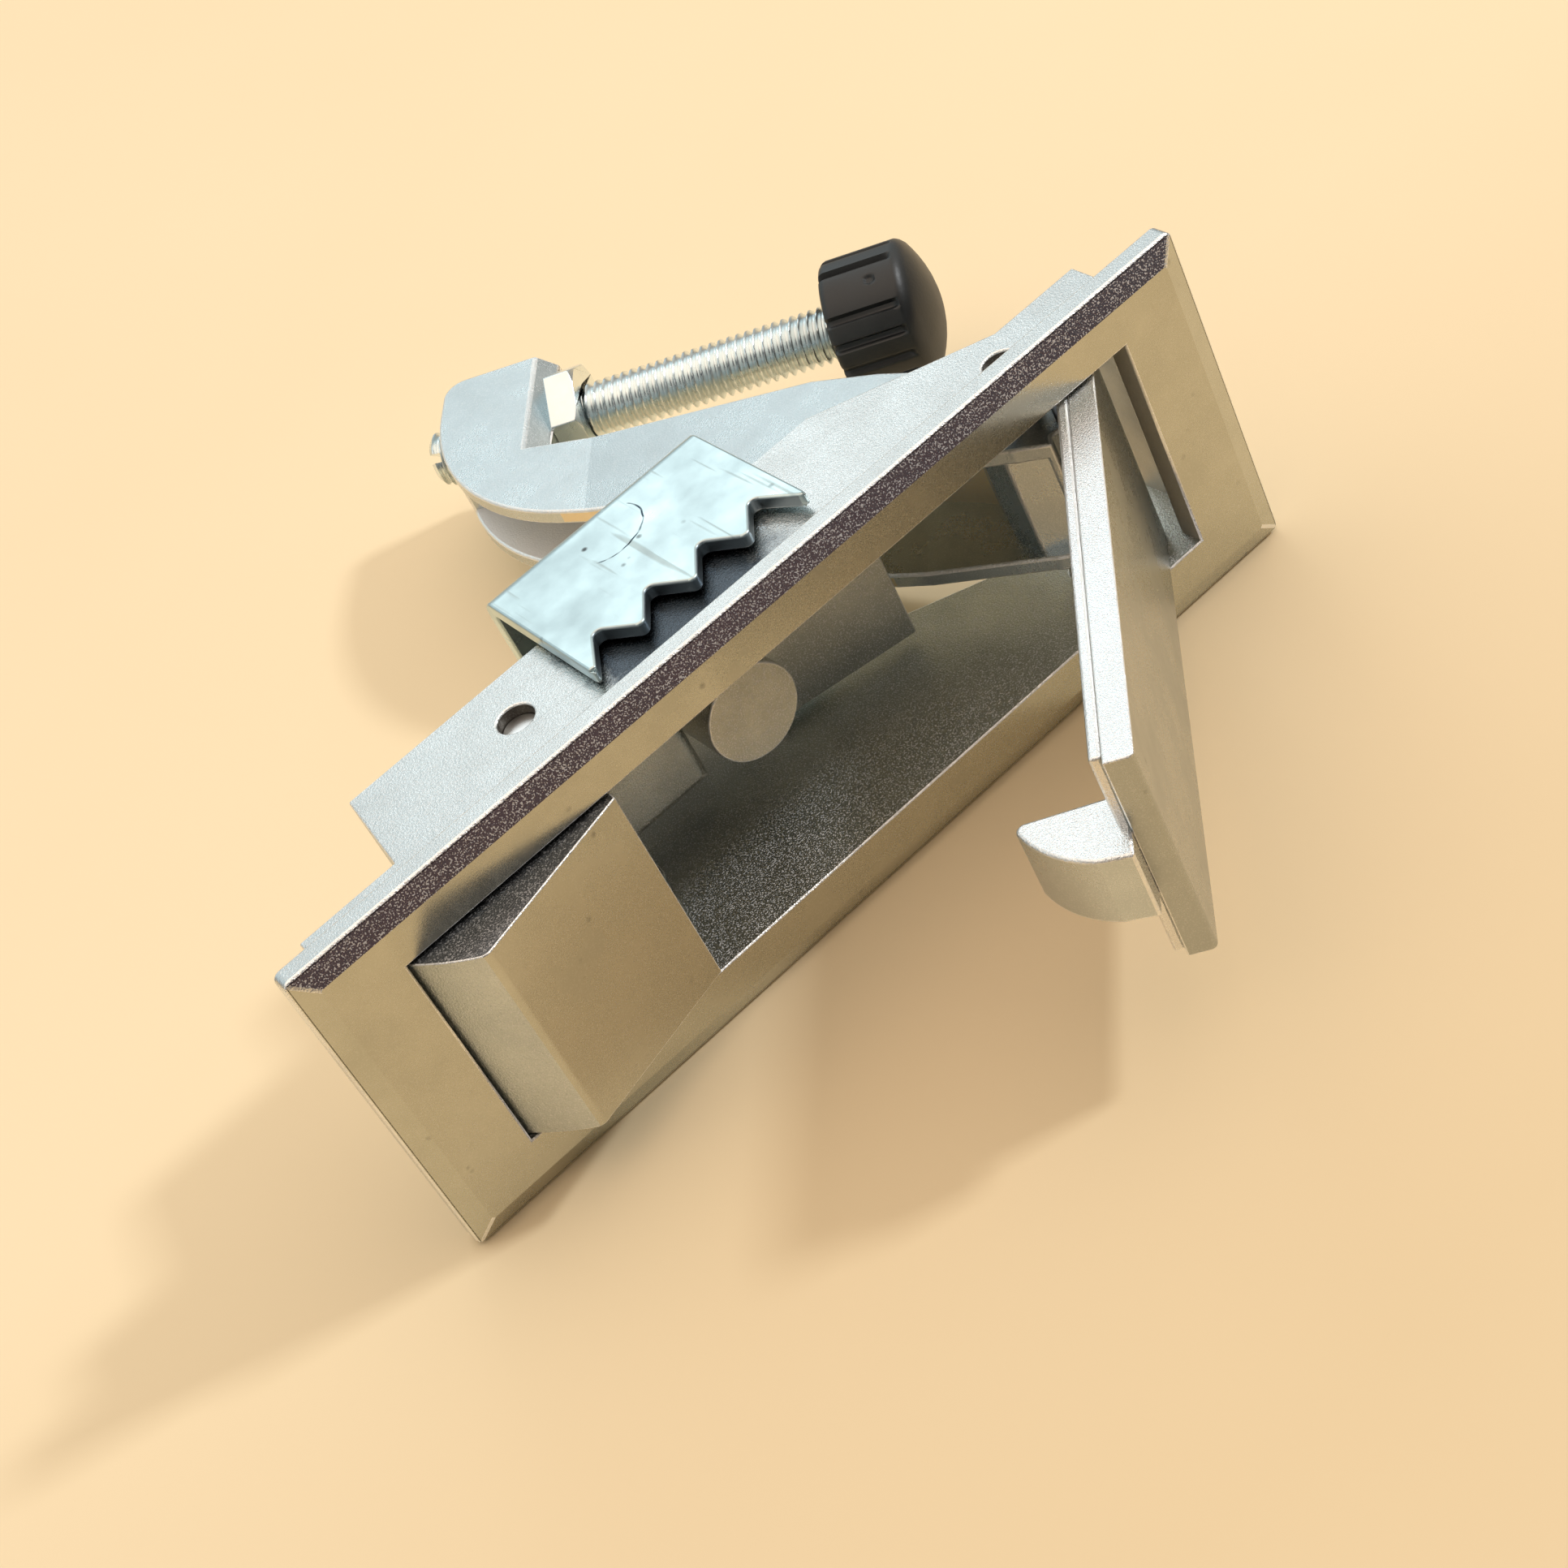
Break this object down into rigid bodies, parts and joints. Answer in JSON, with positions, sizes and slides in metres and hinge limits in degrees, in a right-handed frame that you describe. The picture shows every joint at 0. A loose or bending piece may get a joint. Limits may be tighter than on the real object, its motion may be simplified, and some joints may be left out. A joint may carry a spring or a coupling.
{
  "type": "cabinet spring latch",
  "caption": "Flush cabinet latch: a bezel with a push button that frees a sprung lever handle, a curved arm with an adjusting bolt and knob, and a toothed bracket that clamps it to the panel.",
  "frame": {"origin": "middle of the bezel's back face, where it seats on the door panel", "axes": "+X along the bezel towards the handle's pin, +Y through the panel into the cabinet, +Z across the bezel"},
  "size_m": [0.102, 0.1173, 0.036],
  "materials": {
    "plated_casting": "satin nickel plate",
    "zinc_sheet": "zinc plated sheet",
    "zinc_thread": "zinc plated",
    "steel_pin": "ground",
    "spring_steel": "oiled wire",
    "black_plastic": "matt"
  },
  "bodies": {
    "frame": {"housing": "plated_casting", "handle_pin": "steel_pin", "button_pin": "steel_pin", "handle_spring": "spring_steel", "button_spring": "spring_steel"},
    "button": {"push_button": "plated_casting"},
    "handle": {"handle_cover": "plated_casting", "latch_lever": "plated_casting", "handle_rivets": "plated_casting", "lock_nut": "zinc_thread"},
    "bolt": {"adjusting_bolt": "zinc_thread"},
    "knob": {"bolt_knob": "black_plastic"},
    "clamp": {"clamp_bracket": "zinc_sheet", "clamp_washer": "zinc_thread", "clamp_spring_washer": "zinc_thread"},
    "screw": {"clamp_screw": "zinc_thread"}
  },
  "joints": [
    {"name": "button_press", "type": "hinge", "parent": "frame", "child": "button", "pos_m": [-0.0197, 0.0113, 0], "axis": [0, 0, 1], "range_deg": [-14.9, 0], "stiffness_Nm_per_rad": 0.06, "springref_deg": 8.59, "deforming": ["button_spring"]},
    {"name": "handle_swing", "type": "hinge", "parent": "frame", "child": "handle", "pos_m": [0.0341, 0.005, 0], "axis": [0, 0, 1], "range_deg": [-50.8, 0], "stiffness_Nm_per_rad": 0.08, "springref_deg": 8.59, "deforming": ["handle_spring"]},
    {"name": "bolt_travel", "type": "slide", "parent": "handle", "child": "bolt", "axis": [0.7749, -0.632, 0], "range_m": [-0.012, 0.004]},
    {"name": "knob_turn", "type": "hinge", "parent": "bolt", "child": "knob", "pos_m": [0.0395, 0.04421, 0], "axis": [0.7749, -0.632, 0], "range_deg": [-4320, 1440]},
    {"name": "clamp_slide", "type": "slide", "parent": "frame", "child": "clamp", "axis": [0, 1, 0], "range_m": [-0.0052, 0]},
    {"name": "clamp_screw_turn", "type": "hinge", "parent": "clamp", "child": "screw", "pos_m": [-0.0018, 0.0283, 0], "axis": [0, 1, 0], "range_deg": [-2340, 0]}
  ],
  "couplings": [
    {"joint": "knob_turn", "follows": "bolt_travel", "rad_per_m": 6283.2},
    {"joint": "clamp_screw_turn", "follows": "clamp_slide", "rad_per_m": 7854}
  ]
}
